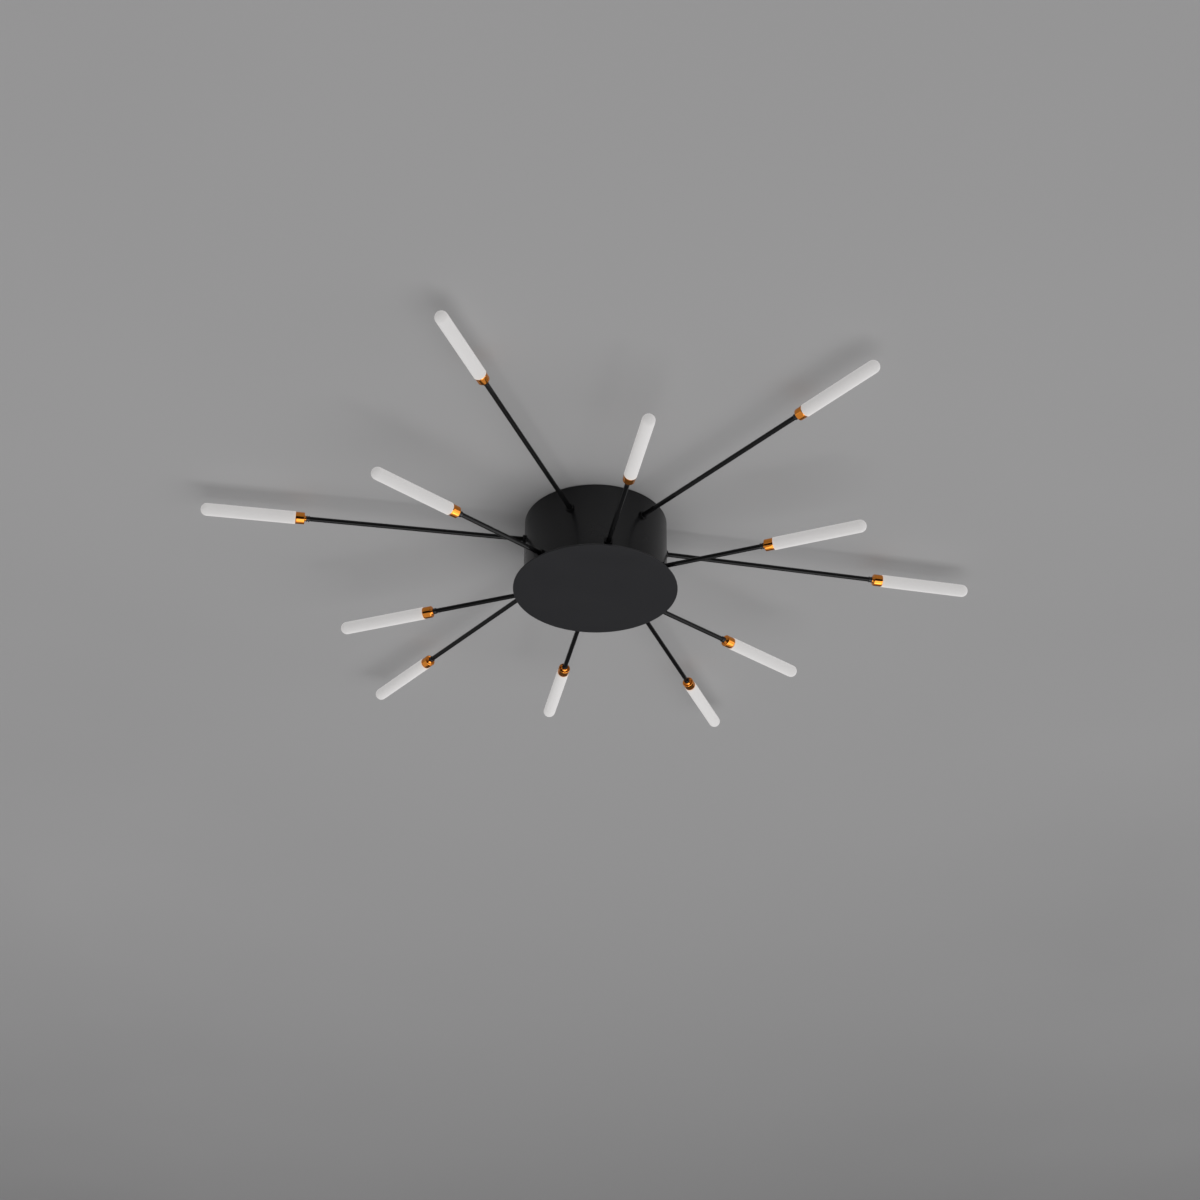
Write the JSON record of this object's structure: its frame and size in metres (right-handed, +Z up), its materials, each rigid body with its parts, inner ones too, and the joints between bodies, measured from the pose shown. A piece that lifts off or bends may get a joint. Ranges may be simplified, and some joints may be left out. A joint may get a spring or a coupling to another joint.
{
  "type": "ceiling light",
  "caption": "Flush ceiling light: a round canopy with straight arms in two rings, each ending in a metal cup with a frosted LED tube.",
  "frame": {"origin": "centre of the ceiling bracket's two screw slots, on its top face, which is the ceiling plane", "axes": "+Z up into the ceiling, +X along the ceiling bracket"},
  "size_m": [0.9831, 0.9376, 0.099],
  "materials": {
    "black_coat": "satin black powder coat",
    "copper_gold_plate": "polished copper-gold plating",
    "opal_acrylic": "frosted white acrylic",
    "zinc_steel": "bright zinc plating",
    "yellow_brass": "plain brass",
    "black_rubber": "matte rubber",
    "white_plastic": "moulded white plastic",
    "green_board": "green lacquered circuit board",
    "white_board": "white lacquered circuit board",
    "lead_jacket": "pale insulated lead"
  },
  "bodies": {
    "ceiling_base": {"ceiling_bracket": "zinc_steel", "cable_grommet": "black_rubber", "terminal_block": "white_plastic", "terminal_screws": "zinc_steel", "earth_screw": "yellow_brass"},
    "canopy": {"canopy_drum": "black_coat", "bottom_disc": "black_coat", "rod_collar_nuts": "black_coat", "rod_end_nuts": "black_coat", "rod_washers": "zinc_steel", "rod_lock_nuts": "zinc_steel", "stud_nuts": "zinc_steel", "canopy_grub_screws": "black_coat", "mains_plug": "white_plastic", "driver_base": "white_plastic", "driver_case": "white_plastic", "driver_board": "green_board", "lead_hub_board": "white_board", "arm_lead_plugs": "white_plastic", "led_base_plugs": "white_plastic", "led_strips": "white_board", "arm_leads": "lead_jacket", "driver_leads": "lead_jacket", "rod_01": "black_coat", "cup_01": "copper_gold_plate", "rod_02": "black_coat", "cup_02": "copper_gold_plate", "rod_03": "black_coat", "cup_03": "copper_gold_plate", "rod_04": "black_coat", "cup_04": "copper_gold_plate", "rod_05": "black_coat", "cup_05": "copper_gold_plate", "rod_06": "black_coat", "cup_06": "copper_gold_plate", "rod_07": "black_coat", "cup_07": "copper_gold_plate", "rod_08": "black_coat", "cup_08": "copper_gold_plate", "rod_09": "black_coat", "cup_09": "copper_gold_plate", "rod_10": "black_coat", "cup_10": "copper_gold_plate", "rod_11": "black_coat", "cup_11": "copper_gold_plate", "rod_12": "black_coat", "cup_12": "copper_gold_plate"},
    "tube_01": {"diffuser_01": "opal_acrylic"},
    "tube_02": {"diffuser_02": "opal_acrylic"},
    "tube_03": {"diffuser_03": "opal_acrylic"},
    "tube_04": {"diffuser_04": "opal_acrylic"},
    "tube_05": {"diffuser_05": "opal_acrylic"},
    "tube_06": {"diffuser_06": "opal_acrylic"},
    "tube_07": {"diffuser_07": "opal_acrylic"},
    "tube_08": {"diffuser_08": "opal_acrylic"},
    "tube_09": {"diffuser_09": "opal_acrylic"},
    "tube_10": {"diffuser_10": "opal_acrylic"},
    "tube_11": {"diffuser_11": "opal_acrylic"},
    "tube_12": {"diffuser_12": "opal_acrylic"}
  },
  "joints": [
    {"name": "canopy_release", "type": "slide", "parent": "ceiling_base", "child": "canopy", "axis": [0, 0, -1], "range_m": [0, 0.06]},
    {"name": "tube_01_pull", "type": "slide", "parent": "canopy", "child": "tube_01", "axis": [0.9781, 0.2079, 0], "range_m": [0, 0.12]},
    {"name": "tube_02_pull", "type": "slide", "parent": "canopy", "child": "tube_02", "axis": [0.7604, 0.6494, 0], "range_m": [0, 0.12]},
    {"name": "tube_03_pull", "type": "slide", "parent": "canopy", "child": "tube_03", "axis": [0.3502, 0.9367, 0], "range_m": [0, 0.12]},
    {"name": "tube_04_pull", "type": "slide", "parent": "canopy", "child": "tube_04", "axis": [-0.1822, 0.9833, 0], "range_m": [0, 0.12]},
    {"name": "tube_05_pull", "type": "slide", "parent": "canopy", "child": "tube_05", "axis": [-0.6157, 0.788, 0], "range_m": [0, 0.12]},
    {"name": "tube_06_pull", "type": "slide", "parent": "canopy", "child": "tube_06", "axis": [-0.9367, 0.3502, 0], "range_m": [0, 0.12]},
    {"name": "tube_07_pull", "type": "slide", "parent": "canopy", "child": "tube_07", "axis": [-0.9877, -0.1564, 0], "range_m": [0, 0.12]},
    {"name": "tube_08_pull", "type": "slide", "parent": "canopy", "child": "tube_08", "axis": [-0.7431, -0.6691, 0], "range_m": [0, 0.12]},
    {"name": "tube_09_pull", "type": "slide", "parent": "canopy", "child": "tube_09", "axis": [-0.3502, -0.9367, 0], "range_m": [0, 0.12]},
    {"name": "tube_10_pull", "type": "slide", "parent": "canopy", "child": "tube_10", "axis": [0.1736, -0.9848, 0], "range_m": [0, 0.12]},
    {"name": "tube_11_pull", "type": "slide", "parent": "canopy", "child": "tube_11", "axis": [0.6428, -0.766, 0], "range_m": [0, 0.12]},
    {"name": "tube_12_pull", "type": "slide", "parent": "canopy", "child": "tube_12", "axis": [0.9304, -0.3665, 0], "range_m": [0, 0.12]}
  ]
}
